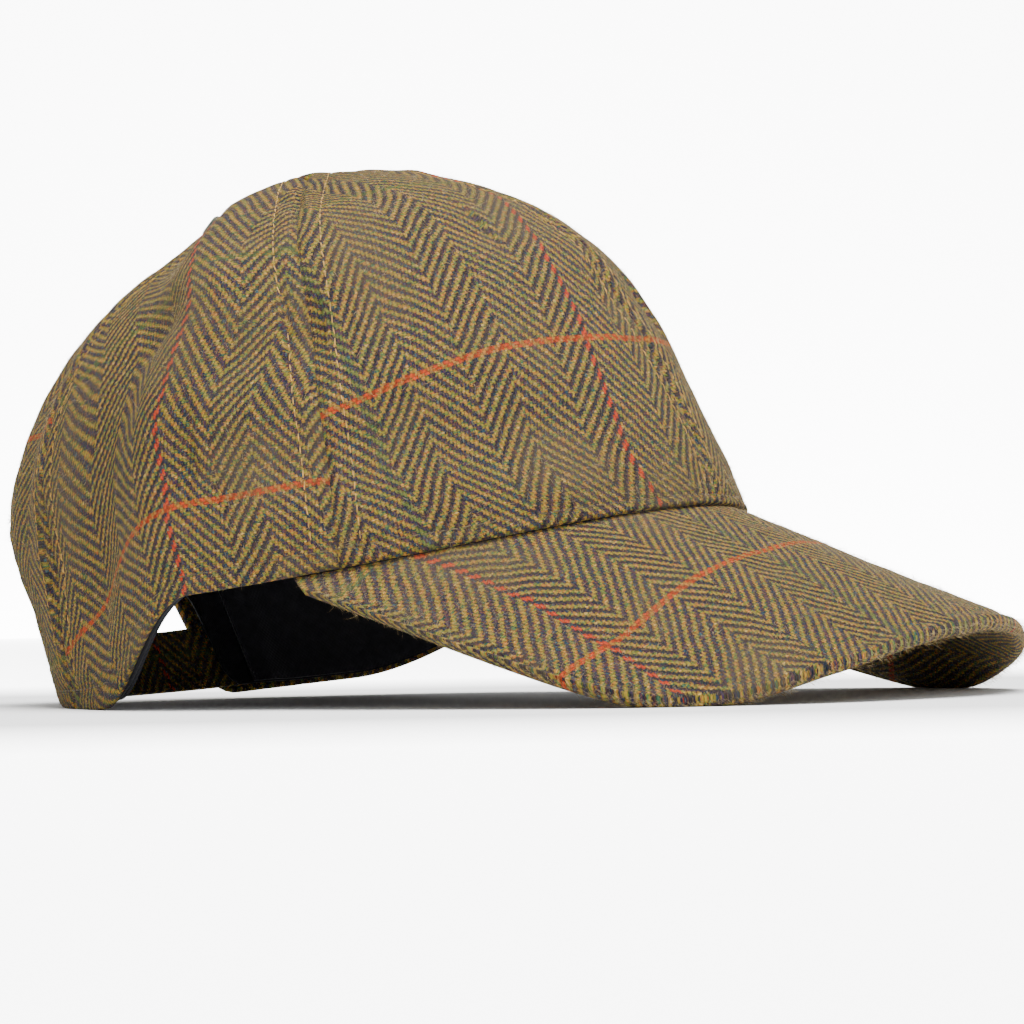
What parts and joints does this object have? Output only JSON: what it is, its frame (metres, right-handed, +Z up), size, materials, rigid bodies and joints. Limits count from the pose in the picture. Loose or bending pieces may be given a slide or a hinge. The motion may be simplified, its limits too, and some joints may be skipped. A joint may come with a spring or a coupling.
{
  "type": "baseball cap",
  "caption": "Soft panelled tweed baseball cap with a curved, drooping peak, a covered top button, a dark lining and a cloth strap across the arch at the back.",
  "frame": {"origin": "under the middle of the whole cap, at the surface it rests on", "axes": "+Z up, the peak points along -Y, +X is the wearer's left"},
  "size_m": [0.1958, 0.2798, 0.142],
  "materials": {
    "tweed": "woven wool, brushed",
    "lining": "smooth woven",
    "band": "woven tape",
    "eyelet_thread": "bound thread"
  },
  "bodies": {
    "root": {"panel_front_right": "tweed", "panel_front_left": "tweed", "panel_side_right": "tweed", "panel_side_left": "tweed", "panel_back_right": "tweed", "panel_back_left": "tweed", "lining": "lining", "sweatband": "band", "strap": "tweed", "strap_tab": "tweed", "peak": "tweed", "button": "tweed", "eyelet_right": "eyelet_thread", "eyelet_left": "eyelet_thread"}
  },
  "joints": []
}
